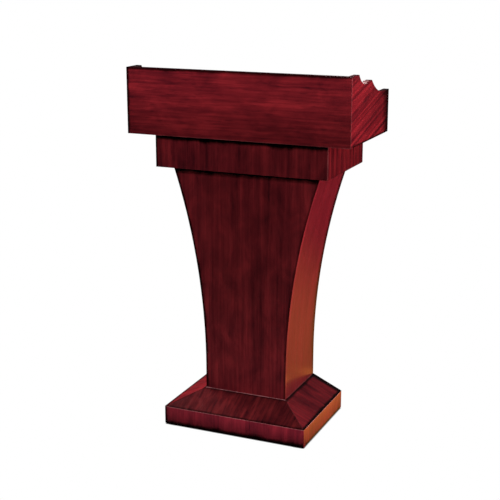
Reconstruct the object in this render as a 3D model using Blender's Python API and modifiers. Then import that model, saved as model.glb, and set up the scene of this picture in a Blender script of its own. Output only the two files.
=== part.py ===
"""Wooden pulpit: a scalloped desk box on a drawer neck, a flared column cupboard and a hipped base.

Metres, +Z up, standing on z = 0. The audience is on the -Y side and the speaker on the +Y side.
X = 0 is the plane of symmetry, and Y = 0 is halfway between the plinth's front and the drawer knob.
"""

import math

import bmesh
import bpy
from mathutils import Matrix, Vector

# Driving dimensions
TOTAL_HEIGHT = 1.100
GAP = 0.0003
EDGE_RADIUS = 0.0015
EDGE_SEGMENTS = 2
ARC_STEPS = 18
ROUND_SEGMENTS = 28

DESK_WIDTH = 0.698
DESK_DEPTH = 0.347
DESK_BOTTOM_Z = 0.9035
DESK_BACK_Y = 0.174
DESK_BOARD = 0.018
SHELF_BOARD = 0.015

# The side boards' scalloped top: a flat, a scoop, a short crest, a longer scoop and a low rear flat
CREST_Z = 1.0745
FIRST_SCOOP_DEPTH_Y = 0.122
FIRST_SCOOP_RADIUS = 0.074
FIRST_SCOOP_BOTTOM_Z = 1.069
SECOND_SCOOP_DEPTH_Y = 0.290
SECOND_SCOOP_RADIUS = 0.165
REAR_FLAT_Z = 1.031

READING_ANGLE = math.radians(11.0)
READING_REAR_Z = 0.980
READING_LENGTH = 0.3312
PAGE_STOP_HEIGHT = 0.012
PAGE_STOP_DEPTH = 0.010
PAGE_STOP_SETBACK = 0.003
PAGE_STOP_END_ROOM = 0.015
CLEAT = 0.018
SIDE_CLEAT_LENGTH = 0.260
FRONT_CLEAT_LENGTH = 0.500

NECK_WIDTH = 0.5455
NECK_DEPTH = 0.3165
NECK_BOTTOM_Z = 0.803
NECK_BOARD = 0.015

DRAWER_FRONT = 0.018
DRAWER_BOARD = 0.012
DRAWER_BOTTOM = 0.006
DRAWER_SIDE_GAP = 0.013
DRAWER_REVEAL = 0.002
DRAWER_INNER_Y = -0.110
DRAWER_LOW_Z = 0.8243
DRAWER_HIGH_Z = 0.8903
DRAWER_BOTTOM_RAISE = 0.002
RAIL_HEIGHT = 0.035
RAIL_BALL_ROOM = 0.005
RAIL_SHEET = 0.0012
RAIL_DEPTH = 0.0068
RAIL_FRONT_Y = -0.118
RAIL_LENGTH = 0.270

COLUMN_FOOT_WIDTH = 0.2676
COLUMN_DEPTH = 0.244
COLUMN_BACK_Y = 0.144
COLUMN_PANEL = 0.015
COLUMN_SKIN = 0.012
CURVE_START_Z = 0.176
CURVE_RADIUS = 1.958
BATTEN = 0.020

DOOR_OPENING_WIDTH = 0.190
DOOR_OPENING_LOW_Z = 0.170
DOOR_OPENING_HIGH_Z = 0.700
DOOR_REVEAL = 0.002
SHELF_Z = 0.430
SHELF_CLEAT = 0.015
SHELF_DOOR_ROOM = 0.002
SHELF_CLEAT_SETBACK = 0.010

HINGE_HEIGHTS = {"upper": 0.600, "lower": 0.270}
HINGE_HALF_HEIGHT = 0.030
HINGE_SHEET = 0.0014
HINGE_LEAF_WIDTH = 0.024
KNUCKLE_RADIUS = 0.0032
KNUCKLE_CLEARANCE = 0.0005
KNUCKLE_JOINT_Z = 0.010
PIN_RADIUS = 0.0014
PIN_BORE_RADIUS = 0.0018
PIN_CAP_RADIUS = 0.0026
PIN_CAP_LENGTH = 0.0042
LEAF_TAB_OVERLAP = 0.002

CATCH_X = -0.065
CATCH_SIZE = (0.040, 0.0203, 0.0147)
STRIKE_SIZE = (0.030, 0.0017, 0.0120)
CATCH_AIR = 0.0005

KNOB_LENGTH = 0.0217
KNOB_RADIUS = 0.0125
KNOB_FLATTENING = 0.72
KNOB_WAIST_RADIUS = 0.0052
KNOB_WAIST_Z = 0.0045
KNOB_FOOT_RADIUS = 0.0078
KNOB_FOOT_HEIGHT = 0.0022
DOOR_KNOB_X = -0.077
DOOR_KNOB_Z = 0.520

PLINTH_WIDTH = 0.4626
PLINTH_DEPTH = 0.340
PLINTH_TOP_Z = 0.059
PLINTH_BOARD = 0.018
BASE_BOARD = 0.015
SKIRT_TOP_Z = 0.1038
GLIDE_HEIGHT = 0.003
GLIDE_RADIUS = 0.0085
GLIDE_RIM = 0.0006
GLIDE_INSET_X = 0.026
MITRE_OVERRUN = 0.010

# Places worked out from the driving dimensions
DESK_FRONT_Y = DESK_BACK_Y - DESK_DEPTH
DESK_INNER_X = DESK_WIDTH / 2 - DESK_BOARD - GAP
DESK_INNER_Y = DESK_FRONT_Y + DESK_BOARD + GAP
NECK_FRONT_Y = DESK_BACK_Y - NECK_DEPTH
NECK_INNER_X = NECK_WIDTH / 2 - NECK_BOARD - GAP
NECK_INNER_Y = NECK_FRONT_Y + NECK_BOARD + GAP
NECK_TOP_Z = DESK_BOTTOM_Z - GAP
DRAWER_HALF_WIDTH = NECK_INNER_X - DRAWER_SIDE_GAP
DRAWER_FRONT_INNER_Y = DESK_BACK_Y - DRAWER_FRONT
DRAWER_CENTRE_Z = (NECK_BOTTOM_Z + NECK_BOARD + DESK_BOTTOM_Z) / 2
COLUMN_FRONT_Y = COLUMN_BACK_Y - COLUMN_DEPTH
COLUMN_INNER_Y = COLUMN_FRONT_Y + COLUMN_PANEL + GAP
COLUMN_LOW_Z = PLINTH_TOP_Z + GAP
COLUMN_TOP_Z = NECK_BOTTOM_Z - GAP
REAR_INNER_Y = COLUMN_BACK_Y - COLUMN_PANEL
DOOR_HALF_WIDTH = DOOR_OPENING_WIDTH / 2 - DOOR_REVEAL
HINGE_AXIS_X = DOOR_OPENING_WIDTH / 2 - DOOR_REVEAL / 2
HINGE_AXIS_Y = COLUMN_BACK_Y + GAP + KNUCKLE_RADIUS + GAP
PLINTH_FRONT_Y = COLUMN_BACK_Y - PLINTH_DEPTH
PLINTH_INNER_X = PLINTH_WIDTH / 2 - PLINTH_BOARD - GAP

SIDES = {"left": -1, "right": 1}

# Colour, roughness and metallic value of each finish
FINISHES = {
    "front_veneer": ((0.120, 0.0085, 0.0120), 0.30, 0.0),
    "side_veneer": ((0.250, 0.0130, 0.0200), 0.26, 0.0),
    "skirt_veneer": ((0.105, 0.0080, 0.0110), 0.28, 0.0),
    "plinth_veneer": ((0.200, 0.0200, 0.0150), 0.30, 0.0),
    "top_veneer": ((0.160, 0.0110, 0.0160), 0.30, 0.0),
    "carcass_wood": ((0.300, 0.1450, 0.0700), 0.60, 0.0),
    "plywood": ((0.550, 0.3600, 0.1950), 0.55, 0.0),
    "brass": ((0.700, 0.4600, 0.1700), 0.28, 1.0),
    "steel": ((0.560, 0.5700, 0.5800), 0.32, 1.0),
    "black_plastic": ((0.020, 0.0200, 0.0220), 0.50, 0.0),
}

AXES = {"X": 0, "Y": 1, "Z": 2}
SHARP_ANGLE = math.radians(35)


def clear_scene():
    """Remove what the default scene holds."""
    for item in list(bpy.data.objects):
        bpy.data.objects.remove(item, do_unlink=True)


def new_collection(name):
    """A collection under the scene's own."""
    collection = bpy.data.collections.new(name)
    bpy.context.scene.collection.children.link(collection)
    return collection


def new_material(name, finish):
    """One Principled material, named for its part."""
    colour, roughness, metallic = FINISHES[finish]
    material = bpy.data.materials.new(name)
    material.use_nodes = True
    shader = material.node_tree.nodes["Principled BSDF"]
    shader.inputs["Base Color"].default_value = (*colour, 1.0)
    shader.inputs["Roughness"].default_value = roughness
    shader.inputs["Metallic"].default_value = metallic
    material.diffuse_color = (*colour, 1.0)
    return material


def add_part(name, mesh, finish, matrix=None, parent=None):
    """A named part; matrix places its mesh in the world, and parent is the empty that it moves with."""
    part = bpy.data.objects.new(name, mesh)
    parts.objects.link(part)
    part.data.materials.append(new_material(name, finish))
    part.matrix_world = matrix if matrix else Matrix.Identity(4)
    if parent:
        part.parent = parent
        part.matrix_parent_inverse = parent.matrix_world.inverted()
    return part


def add_cutter(name, mesh, matrix=None):
    """A helper solid for a Boolean, kept out of the parts."""
    cutter = bpy.data.objects.new(name, mesh)
    cutters.objects.link(cutter)
    cutter.matrix_world = matrix if matrix else Matrix.Identity(4)
    cutter.hide_render = True
    cutter.display_type = "WIRE"
    return cutter


def add_axis(name, location):
    """An empty on a joint's axis, which the moving parts hang from."""
    empty = bpy.data.objects.new(name, None)
    parts.objects.link(empty)
    empty.location = location
    empty.empty_display_size = 0.05
    bpy.context.view_layer.update()
    return empty


def box_mesh(name, size):
    """A box about its own centre."""
    mesh = bpy.data.meshes.new(name)
    shape = bmesh.new()
    bmesh.ops.create_cube(shape, size=1.0)
    bmesh.ops.scale(shape, vec=Vector(size), verts=shape.verts)
    shape.to_mesh(mesh)
    shape.free()
    return mesh


def cylinder_mesh(name, radius, length):
    """A cylinder along Z about its own centre."""
    mesh = bpy.data.meshes.new(name)
    shape = bmesh.new()
    bmesh.ops.create_cone(shape, cap_ends=True, segments=ROUND_SEGMENTS,
                          radius1=radius, radius2=radius, depth=length)
    shape.to_mesh(mesh)
    shape.free()
    return mesh


def outline_mesh(name, points, thickness):
    """A flat outline in XY, filled on both sides and as thick as stated about z = 0."""
    curve = bpy.data.curves.new(name, "CURVE")
    curve.dimensions = "2D"
    curve.fill_mode = "BOTH"
    curve.extrude = thickness / 2
    spline = curve.splines.new("POLY")
    spline.points.add(len(points) - 1)
    for point, (x, y) in zip(spline.points, points):
        point.co = (x, y, 0.0, 1.0)
    spline.use_cyclic_u = True
    holder = bpy.data.objects.new(name, curve)
    cutters.objects.link(holder)
    bpy.context.view_layer.update()
    evaluated = holder.evaluated_get(bpy.context.evaluated_depsgraph_get())
    mesh = bpy.data.meshes.new_from_object(evaluated)
    shape = bmesh.new()
    shape.from_mesh(mesh)
    bmesh.ops.remove_doubles(shape, verts=shape.verts, dist=0.00001)
    shape.to_mesh(mesh)
    shape.free()
    bpy.data.objects.remove(holder, do_unlink=True)
    return mesh


def facing_y(centre_y):
    """Stands an XY outline up in XZ, centred at centre_y."""
    return Matrix.Translation((0, centre_y, 0)) @ Matrix.Rotation(math.pi / 2, 4, "X")


def facing_x(centre_x):
    """Stands an XY outline up in YZ, centred at centre_x."""
    turn = Matrix.Rotation(math.pi / 2, 4, "Z") @ Matrix.Rotation(math.pi / 2, 4, "X")
    return Matrix.Translation((centre_x, 0, 0)) @ turn


def vertices_on(part, shape, side):
    """The vertices on one side of a part, such as "-Y" for its front."""
    sign = 1 if side[0] == "+" else -1
    to_world = part.matrix_world.to_3x3()
    reach = {vert: sign * (to_world @ vert.co)[AXES[side[1]]] for vert in shape.verts}
    farthest = max(reach.values())
    return {vert for vert, distance in reach.items() if distance > farthest - 0.00001}


def soften(part, sides, seams=()):
    """Round the sharp edges round the stated sides, but not those where the part meets a neighbour."""
    shape = bmesh.new()
    shape.from_mesh(part.data)
    weight = shape.edges.layers.float.new("bevel_weight_edge")
    seam_verts = [vertices_on(part, shape, seam) for seam in seams]
    for side_verts in [vertices_on(part, shape, side) for side in sides]:
        for edge in shape.edges:
            ends = set(edge.verts)
            on_seam = any(ends <= verts for verts in seam_verts)
            if ends <= side_verts and not on_seam and edge.calc_face_angle(0.0) > SHARP_ANGLE:
                edge[weight] = 1.0
    shape.to_mesh(part.data)
    shape.free()
    bevel = part.modifiers.new("rounded_edges", "BEVEL")
    bevel.limit_method = "WEIGHT"
    bevel.width = EDGE_RADIUS
    bevel.segments = EDGE_SEGMENTS


def combine(part, other, operation):
    """A Boolean of the part with a helper solid."""
    boolean = part.modifiers.new(operation.lower(), "BOOLEAN")
    boolean.operation = operation
    boolean.object = other


def board(name, low, high, finish, rounded=(), seams=(), parent=None):
    """A straight board between two corners; rounded and seams are the sides that soften() takes."""
    size = [top - bottom for bottom, top in zip(low, high)]
    centre = [(top + bottom) / 2 for bottom, top in zip(low, high)]
    part = add_part(name, box_mesh(name, size), finish, Matrix.Translation(centre), parent)
    if rounded:
        soften(part, rounded, seams)
    return part


def side_board(name, side, low, high, finish, rounded=(), seams=(), parent=None):
    """A board given on the +X side and placed on side; "out" is its face away from the middle."""
    near, far = sorted((side * low[0], side * high[0]))
    outer = "+X" if side > 0 else "-X"
    faces = [outer if face == "out" else face for face in rounded]
    return board(name, (near, low[1], low[2]), (far, high[1], high[2]), finish, faces, seams, parent)


def arc(centre, radius, start, end):
    """Points round an arc between two angles, counted from +X towards +Y."""
    angles = [start + (end - start) * step / ARC_STEPS for step in range(ARC_STEPS + 1)]
    return [(centre[0] + radius * math.cos(a), centre[1] + radius * math.sin(a)) for a in angles]


def scoop(middle_y, radius, bottom_z, entry_z, exit_z):
    """A hollow in the side board's top, from its entry height to its exit height."""
    entry_angle = math.acos(1 - (entry_z - bottom_z) / radius)
    exit_angle = math.acos(1 - (exit_z - bottom_z) / radius)
    start = -math.pi / 2 - entry_angle
    end = -math.pi / 2 + exit_angle
    return arc((middle_y, bottom_z + radius), radius, start, end)


def column_half_width(offset, z):
    """Half the column's width at one height, inside its surface by offset."""
    rise = max(0.0, z - CURVE_START_Z)
    radius = CURVE_RADIUS + offset
    return COLUMN_FOOT_WIDTH / 2 + CURVE_RADIUS - math.sqrt(radius ** 2 - rise ** 2)


def flare(offset):
    """The column's side from its foot to its top, inside its surface by offset: straight, then an arc."""
    step_height = (COLUMN_TOP_Z - CURVE_START_Z) / ARC_STEPS
    heights = [COLUMN_LOW_Z] + [CURVE_START_Z + step * step_height for step in range(ARC_STEPS + 1)]
    return [(column_half_width(offset, z), z) for z in heights]


def turned(name, profile, matrix, finish, parent=None):
    """A turned piece: a profile from its top down, as (radius, z), spun about Z."""
    mesh = bpy.data.meshes.new(name)
    shape = bmesh.new()
    verts = [shape.verts.new((radius, 0, z)) for radius, z in profile]
    for first, second in zip(verts, verts[1:]):
        shape.edges.new((first, second))
    shape.to_mesh(mesh)
    shape.free()
    part = add_part(name, mesh, finish, matrix, parent)
    screw = part.modifiers.new("turning", "SCREW")
    screw.steps = ROUND_SEGMENTS
    screw.render_steps = ROUND_SEGMENTS
    screw.use_merge_vertices = True
    screw.merge_threshold = 0.00001
    screw.use_smooth_shade = True
    return part


def knob(name, x, face_y, z, parent):
    """A turned knob on a face that looks along +Y."""
    half_ball = KNOB_RADIUS * KNOB_FLATTENING
    ball_z = KNOB_LENGTH - half_ball
    turns = [math.pi * step / 12 for step in range(10)]
    dome = [(KNOB_RADIUS * math.sin(a), ball_z + half_ball * math.cos(a)) for a in turns]
    foot = [(KNOB_WAIST_RADIUS, KNOB_WAIST_Z), (KNOB_FOOT_RADIUS, KNOB_FOOT_HEIGHT),
            (KNOB_FOOT_RADIUS, 0.0), (0.0, 0.0)]
    place = Matrix.Translation((x, face_y + GAP, z)) @ Matrix.Rotation(-math.pi / 2, 4, "X")
    return turned(name, dome + foot, place, "brass", parent)


def slope_board(name, centre, size, finish):
    """A board on the reading slope; centre is counted from the slope's rear top edge, -Y up the slope."""
    rear_edge = Matrix.Translation((0, DESK_BACK_Y - GAP, READING_REAR_Z))
    slope = rear_edge @ Matrix.Rotation(-READING_ANGLE, 4, "X")
    part = add_part(name, box_mesh(name, size), finish, slope @ Matrix.Translation(centre))
    bevel = part.modifiers.new("rounded_edges", "BEVEL")
    bevel.width = EDGE_RADIUS
    bevel.segments = EDGE_SEGMENTS


def build_desk():
    """The box at the top: its boards, the sloping reading board and the cleats that carry it."""
    half = DESK_WIDTH / 2
    board("desk_front_board", (-half, DESK_FRONT_Y, DESK_BOTTOM_Z),
          (half, DESK_FRONT_Y + DESK_BOARD, TOTAL_HEIGHT), "front_veneer", ("-Y", "+Z"))
    board("desk_bottom_board", (-DESK_INNER_X, DESK_INNER_Y, DESK_BOTTOM_Z),
          (DESK_INNER_X, DESK_BACK_Y, DESK_BOTTOM_Z + SHELF_BOARD), "top_veneer", ("+Y",))
    outline = [(DESK_BACK_Y, DESK_BOTTOM_Z), (DESK_BACK_Y, REAR_FLAT_Z)]
    outline += reversed(scoop(DESK_FRONT_Y + SECOND_SCOOP_DEPTH_Y, SECOND_SCOOP_RADIUS,
                              REAR_FLAT_Z, CREST_Z, REAR_FLAT_Z))
    outline += reversed(scoop(DESK_FRONT_Y + FIRST_SCOOP_DEPTH_Y, FIRST_SCOOP_RADIUS,
                              FIRST_SCOOP_BOTTOM_Z, TOTAL_HEIGHT, CREST_Z))
    outline += [(DESK_INNER_Y, TOTAL_HEIGHT), (DESK_INNER_Y, DESK_BOTTOM_Z)]
    for word, side in SIDES.items():
        name = f"desk_{word}_side"
        mesh = outline_mesh(name, outline, DESK_BOARD)
        part = add_part(name, mesh, "side_veneer", facing_x(side * (half - DESK_BOARD / 2)))
        soften(part, ("-X", "+X"), seams=("-Y",))

    under = -SHELF_BOARD - GAP - CLEAT / 2
    slope_board("reading_board", (0, -READING_LENGTH / 2, -SHELF_BOARD / 2),
                (2 * DESK_INNER_X, READING_LENGTH, SHELF_BOARD), "top_veneer")
    slope_board("page_stop", (0, -PAGE_STOP_SETBACK - PAGE_STOP_DEPTH / 2, PAGE_STOP_HEIGHT / 2 + GAP),
                (2 * (DESK_INNER_X - PAGE_STOP_END_ROOM), PAGE_STOP_DEPTH, PAGE_STOP_HEIGHT),
                "top_veneer")
    slope_board("reading_cleat_front", (0, CLEAT - READING_LENGTH, under),
                (FRONT_CLEAT_LENGTH, CLEAT, CLEAT), "carcass_wood")
    for word, side in SIDES.items():
        slope_board(f"reading_cleat_{word}", (side * (DESK_INNER_X - CLEAT / 2), -READING_LENGTH / 2, under),
                    (CLEAT, SIDE_CLEAT_LENGTH, CLEAT), "carcass_wood")


def channel(name, web_x, opening, height, parent=None):
    """A drawer rail of folded sheet: its web stands at web_x, and its flanges point along opening."""
    low, high = -height / 2, height / 2
    tip, inner = opening * RAIL_DEPTH, opening * RAIL_SHEET
    outline = [(0, low), (tip, low), (tip, low + RAIL_SHEET), (inner, low + RAIL_SHEET),
               (inner, high - RAIL_SHEET), (tip, high - RAIL_SHEET), (tip, high), (0, high)]
    middle_z = (DRAWER_LOW_Z + DRAWER_HIGH_Z) / 2
    place = Matrix.Translation((web_x, 0, middle_z)) @ facing_y(RAIL_FRONT_Y + RAIL_LENGTH / 2)
    return add_part(name, outline_mesh(name, outline, RAIL_LENGTH), "steel", place, parent)


def build_neck():
    """The drawer case between the column and the desk."""
    half = NECK_WIDTH / 2
    board("neck_front_board", (-half, NECK_FRONT_Y, NECK_BOTTOM_Z),
          (half, NECK_FRONT_Y + NECK_BOARD, NECK_TOP_Z), "front_veneer", ("-Y",))
    board("neck_bottom_board", (-NECK_INNER_X, NECK_INNER_Y, NECK_BOTTOM_Z),
          (NECK_INNER_X, DESK_BACK_Y, NECK_BOTTOM_Z + NECK_BOARD), "side_veneer", ("+Y",))
    for word, side in SIDES.items():
        side_board(f"neck_{word}_side", side, (half - NECK_BOARD, NECK_INNER_Y, NECK_BOTTOM_Z),
                   (half, DESK_BACK_Y, NECK_TOP_Z), "side_veneer", ("out", "+Y"), ("-Y",))
        channel(f"case_rail_{word}", side * (NECK_INNER_X - GAP), -side, RAIL_HEIGHT)


def build_drawer():
    """The drawer, which slides out towards the speaker."""
    axis = add_axis("drawer_slide_axis", (0, DESK_BACK_Y, DRAWER_CENTRE_Z))
    face_half = NECK_INNER_X - DRAWER_REVEAL
    board("drawer_front", (-face_half, DRAWER_FRONT_INNER_Y, NECK_BOTTOM_Z + NECK_BOARD + DRAWER_REVEAL),
          (face_half, DESK_BACK_Y, DESK_BOTTOM_Z - DRAWER_REVEAL), "front_veneer", ("+Y",), parent=axis)
    knob("drawer_knob", 0, DESK_BACK_Y, DRAWER_CENTRE_Z, axis)

    inner_x = DRAWER_HALF_WIDTH - DRAWER_BOARD - GAP
    side_end_y = DRAWER_FRONT_INNER_Y - GAP
    bottom_z = DRAWER_LOW_Z + DRAWER_BOTTOM_RAISE
    board("drawer_back", (-inner_x, DRAWER_INNER_Y, DRAWER_LOW_Z),
          (inner_x, DRAWER_INNER_Y + DRAWER_BOARD, DRAWER_HIGH_Z), "plywood", ("+Z",), parent=axis)
    board("drawer_bottom", (-inner_x, DRAWER_INNER_Y + DRAWER_BOARD + GAP, bottom_z),
          (inner_x, side_end_y, bottom_z + DRAWER_BOTTOM), "plywood", parent=axis)
    for word, side in SIDES.items():
        side_board(f"drawer_{word}_side", side,
                   (DRAWER_HALF_WIDTH - DRAWER_BOARD, DRAWER_INNER_Y, DRAWER_LOW_Z),
                   (DRAWER_HALF_WIDTH, side_end_y, DRAWER_HIGH_Z), "plywood", ("+Z",), parent=axis)
        channel(f"drawer_rail_{word}", side * (DRAWER_HALF_WIDTH + GAP), side,
                RAIL_HEIGHT - 2 * RAIL_BALL_ROOM, axis)


def build_column():
    """The flared column: front panel, bent sides, rear frame, shelf and battens."""
    right = flare(0)
    outline = right + [(-x, z) for x, z in reversed(right)]
    front = add_part("column_front_panel", outline_mesh("column_front_panel", outline, COLUMN_PANEL),
                     "front_veneer", facing_y(COLUMN_FRONT_Y + COLUMN_PANEL / 2))
    soften(front, ("-Y",))

    side_depth = COLUMN_BACK_Y - COLUMN_INNER_Y
    opening_half = DOOR_OPENING_WIDTH / 2
    strip = flare(0) + flare(COLUMN_SKIN)[::-1]
    stile = flare(COLUMN_SKIN + GAP) + [(opening_half, COLUMN_TOP_Z), (opening_half, COLUMN_LOW_Z)]
    for word, side in SIDES.items():
        name = f"column_{word}_side"
        mesh = outline_mesh(name, [(side * x, z) for x, z in strip], side_depth)
        panel = add_part(name, mesh, "side_veneer", facing_y(COLUMN_INNER_Y + side_depth / 2))
        soften(panel, ("+Y",))
        name = f"rear_{word}_stile"
        mesh = outline_mesh(name, [(side * x, z) for x, z in stile], COLUMN_PANEL)
        add_part(name, mesh, "front_veneer", facing_y(COLUMN_BACK_Y - COLUMN_PANEL / 2))

    rail_half = opening_half - GAP
    board("rear_top_rail", (-rail_half, REAR_INNER_Y, DOOR_OPENING_HIGH_Z),
          (rail_half, COLUMN_BACK_Y, COLUMN_TOP_Z), "front_veneer")
    board("rear_bottom_rail", (-rail_half, REAR_INNER_Y, COLUMN_LOW_Z),
          (rail_half, COLUMN_BACK_Y, DOOR_OPENING_LOW_Z), "front_veneer")

    shelf_half = column_half_width(COLUMN_SKIN, SHELF_Z) - 2 * GAP
    shelf_back_y = REAR_INNER_Y - SHELF_DOOR_ROOM
    board("column_shelf", (-shelf_half, COLUMN_INNER_Y, SHELF_Z),
          (shelf_half, shelf_back_y, SHELF_Z + SHELF_BOARD), "plywood", ("+Y",))
    battens = {
        "top_batten": (COLUMN_TOP_Z - GAP - BATTEN, BATTEN, REAR_INNER_Y - GAP),
        "foot_batten": (COLUMN_LOW_Z + GAP, BATTEN, REAR_INNER_Y - GAP),
        "shelf_cleat": (SHELF_Z - GAP - SHELF_CLEAT, SHELF_CLEAT, shelf_back_y - SHELF_CLEAT_SETBACK),
    }
    for name, (low_z, size, back_y) in battens.items():
        outer_x = column_half_width(COLUMN_SKIN, low_z) - 2 * GAP
        for word, side in SIDES.items():
            side_board(f"{name}_{word}", side, (outer_x - size, COLUMN_INNER_Y, low_z),
                       (outer_x, back_y, low_z + size), "carcass_wood")


def hinge_leaf(name, height_z, side, spans, parent=None):
    """A flat leaf with its knuckles, lying on the column's rear face to one side of the pin."""
    face_y = COLUMN_BACK_Y + GAP
    reach = KNUCKLE_RADIUS + KNUCKLE_CLEARANCE
    near, far = sorted((HINGE_AXIS_X + side * reach, HINGE_AXIS_X + side * HINGE_LEAF_WIDTH))
    leaf = board(name, (near, face_y, height_z - HINGE_HALF_HEIGHT),
                 (far, face_y + HINGE_SHEET, height_z + HINGE_HALF_HEIGHT), "brass", parent=parent)
    tab_width = reach + LEAF_TAB_OVERLAP
    for number, (low, high) in enumerate(spans):
        middle_z = height_z + (low + high) / 2
        tab = box_mesh(f"{name}_tab_{number}", (tab_width, HINGE_SHEET, high - low))
        tab_centre = (HINGE_AXIS_X + side * tab_width / 2, face_y + HINGE_SHEET / 2, middle_z)
        combine(leaf, add_cutter(tab.name, tab, Matrix.Translation(tab_centre)), "UNION")
        barrel = cylinder_mesh(f"{name}_barrel_{number}", KNUCKLE_RADIUS, high - low)
        barrel_centre = (HINGE_AXIS_X, HINGE_AXIS_Y, middle_z)
        combine(leaf, add_cutter(barrel.name, barrel, Matrix.Translation(barrel_centre)), "UNION")
    bore = cylinder_mesh(f"{name}_bore", PIN_BORE_RADIUS, 3 * HINGE_HALF_HEIGHT)
    bore_centre = (HINGE_AXIS_X, HINGE_AXIS_Y, height_z)
    combine(leaf, add_cutter(bore.name, bore, Matrix.Translation(bore_centre)), "DIFFERENCE")


def build_door():
    """The cupboard door in the column's back, on two surface hinges, with its knob and catch."""
    axis = add_axis("door_hinge_axis", (HINGE_AXIS_X, HINGE_AXIS_Y, DOOR_OPENING_LOW_Z))
    board("column_door", (-DOOR_HALF_WIDTH, REAR_INNER_Y, DOOR_OPENING_LOW_Z + DOOR_REVEAL),
          (DOOR_HALF_WIDTH, COLUMN_BACK_Y, DOOR_OPENING_HIGH_Z - DOOR_REVEAL),
          "front_veneer", ("+Y",), parent=axis)
    knob("door_knob", DOOR_KNOB_X, COLUMN_BACK_Y, DOOR_KNOB_Z, axis)

    edge = KNUCKLE_JOINT_Z + GAP
    outer_spans = ((-HINGE_HALF_HEIGHT, -edge), (edge, HINGE_HALF_HEIGHT))
    middle_span = ((-KNUCKLE_JOINT_Z, KNUCKLE_JOINT_Z),)
    cap_z = HINGE_HALF_HEIGHT + GAP
    cap_shoulder_z = cap_z + PIN_CAP_LENGTH / 2
    pin_half = [(0.0, cap_z + PIN_CAP_LENGTH), (PIN_RADIUS, cap_z + 0.9 * PIN_CAP_LENGTH),
                (PIN_CAP_RADIUS, cap_shoulder_z), (PIN_CAP_RADIUS, cap_z), (PIN_RADIUS, cap_z)]
    pin_profile = pin_half + [(radius, -z) for radius, z in reversed(pin_half)]
    for word, height_z in HINGE_HEIGHTS.items():
        hinge_leaf(f"{word}_hinge_frame_leaf", height_z, 1, outer_spans)
        hinge_leaf(f"{word}_hinge_door_leaf", height_z, -1, middle_span, axis)
        turned(f"{word}_hinge_pin", pin_profile,
               Matrix.Translation((HINGE_AXIS_X, HINGE_AXIS_Y, height_z)), "brass")

    # The catch hangs under the shelf, and its strike is on the door's inner face
    strike_back_y = REAR_INNER_Y - GAP
    strike_front_y = strike_back_y - STRIKE_SIZE[1]
    catch_back_y = strike_front_y - CATCH_AIR
    catch_top_z = SHELF_Z - GAP
    strike_top_z = catch_top_z - (CATCH_SIZE[2] - STRIKE_SIZE[2]) / 2
    board("catch_body",
          (CATCH_X - CATCH_SIZE[0] / 2, catch_back_y - CATCH_SIZE[1], catch_top_z - CATCH_SIZE[2]),
          (CATCH_X + CATCH_SIZE[0] / 2, catch_back_y, catch_top_z), "black_plastic", ("+Y",))
    board("catch_strike", (CATCH_X - STRIKE_SIZE[0] / 2, strike_front_y, strike_top_z - STRIKE_SIZE[2]),
          (CATCH_X + STRIKE_SIZE[0] / 2, strike_back_y, strike_top_z), "steel", parent=axis)


def skirt(name, section, length, place, plan):
    """A triangular moulding, cut at its mitres by the plan that it fills."""
    part = add_part(name, outline_mesh(name, section, length), "skirt_veneer", place)
    prism = outline_mesh(f"{name}_mitres", plan, 4 * SKIRT_TOP_Z)
    combine(part, add_cutter(prism.name, prism), "INTERSECT")


def build_plinth():
    """The plinth frame, the board that the column stands on, and the glides."""
    half = PLINTH_WIDTH / 2
    low_z = GLIDE_HEIGHT
    front_inner_y = PLINTH_FRONT_Y + PLINTH_BOARD
    back_inner_y = COLUMN_BACK_Y - PLINTH_BOARD
    board("plinth_front", (-half, PLINTH_FRONT_Y, low_z), (half, front_inner_y, PLINTH_TOP_Z),
          "front_veneer", ("-Y",))
    board("plinth_back", (-half, back_inner_y, low_z), (half, COLUMN_BACK_Y, PLINTH_TOP_Z),
          "front_veneer", ("+Y",))
    for word, side in SIDES.items():
        side_board(f"plinth_{word}", side, (half - PLINTH_BOARD, front_inner_y + GAP, low_z),
                   (half, back_inner_y - GAP, PLINTH_TOP_Z), "plinth_veneer", ("out",), ("-Y", "+Y"))
    board("base_board", (-PLINTH_INNER_X, front_inner_y + GAP, PLINTH_TOP_Z - BASE_BOARD),
          (PLINTH_INNER_X, back_inner_y - GAP, PLINTH_TOP_Z), "plywood")

    glide_top = GLIDE_HEIGHT - GAP
    profile = [(0.0, glide_top), (GLIDE_RADIUS, glide_top), (GLIDE_RADIUS, GLIDE_RIM),
               (GLIDE_RADIUS - GLIDE_RIM, 0.0), (0.0, 0.0)]
    rows = {"front": PLINTH_FRONT_Y + PLINTH_BOARD / 2, "rear": COLUMN_BACK_Y - PLINTH_BOARD / 2}
    for row, y in rows.items():
        for word, side in SIDES.items():
            place = Matrix.Translation((side * (half - GLIDE_INSET_X), y, 0))
            turned(f"glide_{row}_{word}", profile, place, "black_plastic")


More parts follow.
